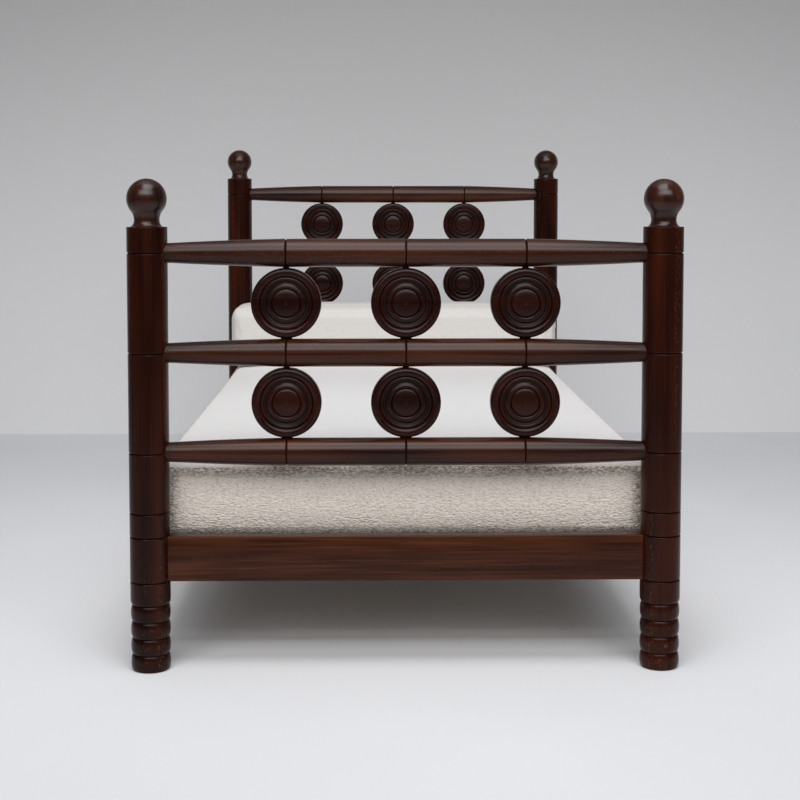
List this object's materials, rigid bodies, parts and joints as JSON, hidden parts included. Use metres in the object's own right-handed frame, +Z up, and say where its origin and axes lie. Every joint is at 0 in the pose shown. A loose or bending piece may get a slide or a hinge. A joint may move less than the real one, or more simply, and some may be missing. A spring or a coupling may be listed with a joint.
{
  "type": "single bed",
  "caption": "Single bed of dark turned wood: round posts with ball finials, spindle rails holding ringed roundels, a slatted base, and a cream boucle mattress and bolster.",
  "frame": {"origin": "on the floor under the middle of the bed", "axes": "+X across the bed to the right as seen from the foot, +Y from the foot end to the head end, +Z up"},
  "size_m": [1.06, 2.057, 1.0633],
  "materials": {
    "post_wood": "dark stained turned hardwood, satin",
    "finial_wood": "dark stained turned hardwood, satin",
    "rail_wood": "dark stained turned hardwood, satin",
    "roundel_wood": "near-black stained turned hardwood, satin",
    "board_wood": "dark stained hardwood board, straight grain",
    "slat_wood": "plain sawn softwood",
    "fitting_steel": "zinc plated",
    "cream_boucle": "cream boucle cloth"
  },
  "bodies": {
    "root": {"bolster": "cream_boucle", "foot_board": "board_wood", "foot_finial_left": "finial_wood", "foot_finial_right": "finial_wood", "foot_hook_plate_left": "fitting_steel", "foot_hook_plate_right": "fitting_steel", "foot_lower_rail": "rail_wood", "foot_middle_rail": "rail_wood", "foot_post_left": "post_wood", "foot_post_right": "post_wood", "foot_roundel_lower_1": "roundel_wood", "foot_roundel_lower_2": "roundel_wood", "foot_roundel_lower_3": "roundel_wood", "foot_roundel_upper_1": "roundel_wood", "foot_roundel_upper_2": "roundel_wood", "foot_roundel_upper_3": "roundel_wood", "foot_slot_plate_left": "fitting_steel", "foot_slot_plate_right": "fitting_steel", "foot_top_rail": "rail_wood", "head_board": "board_wood", "head_finial_left": "finial_wood", "head_finial_right": "finial_wood", "head_hook_plate_left": "fitting_steel", "head_hook_plate_right": "fitting_steel", "head_lower_rail": "rail_wood", "head_middle_rail": "rail_wood", "head_post_left": "post_wood", "head_post_right": "post_wood", "head_roundel_lower_1": "roundel_wood", "head_roundel_lower_2": "roundel_wood", "head_roundel_lower_3": "roundel_wood", "head_roundel_upper_1": "roundel_wood", "head_roundel_upper_2": "roundel_wood", "head_roundel_upper_3": "roundel_wood", "head_slot_plate_left": "fitting_steel", "head_slot_plate_right": "fitting_steel", "head_top_rail": "rail_wood", "mattress": "cream_boucle", "side_rail_left": "board_wood", "side_rail_right": "board_wood", "slat_01": "slat_wood", "slat_02": "slat_wood", "slat_03": "slat_wood", "slat_04": "slat_wood", "slat_05": "slat_wood", "slat_06": "slat_wood", "slat_07": "slat_wood", "slat_08": "slat_wood", "slat_09": "slat_wood", "slat_10": "slat_wood", "slat_11": "slat_wood", "slat_12": "slat_wood", "slat_13": "slat_wood", "slat_14": "slat_wood", "slat_ledger_left": "slat_wood", "slat_ledger_right": "slat_wood"}
  },
  "joints": []
}
